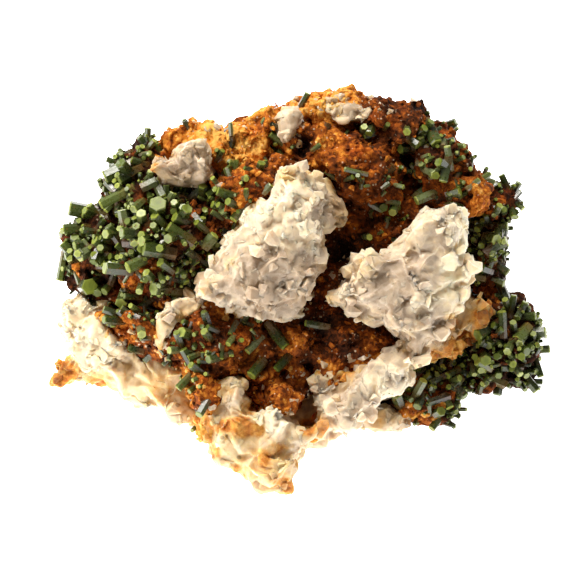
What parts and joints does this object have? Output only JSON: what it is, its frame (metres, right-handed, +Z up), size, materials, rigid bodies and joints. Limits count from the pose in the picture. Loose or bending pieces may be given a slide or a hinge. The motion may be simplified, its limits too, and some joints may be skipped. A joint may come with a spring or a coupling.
{
  "type": "mineral specimen",
  "caption": "Pyromorphite: druses of stubby green six-sided crystals on brown limonite and white quartz, lying on its broken base.",
  "frame": {"origin": "centre of the bounding box at the table that the specimen lies on", "axes": "+Z up from the table, -Y towards the crystal side that the picture shows, +X to the right of that side"},
  "size_m": [0.0632, 0.0476, 0.0316],
  "materials": {
    "quartz": "sugary, milky white",
    "limonite": "earthy, orange-brown",
    "pyromorphite": "resinous, olive green"
  },
  "bodies": {
    "root": {"quartz_matrix": "quartz", "limonite_crust": "limonite", "pyromorphite_left": "pyromorphite", "pyromorphite_column": "pyromorphite", "pyromorphite_lobe": "pyromorphite", "pyromorphite_terrace": "pyromorphite"}
  },
  "joints": []
}
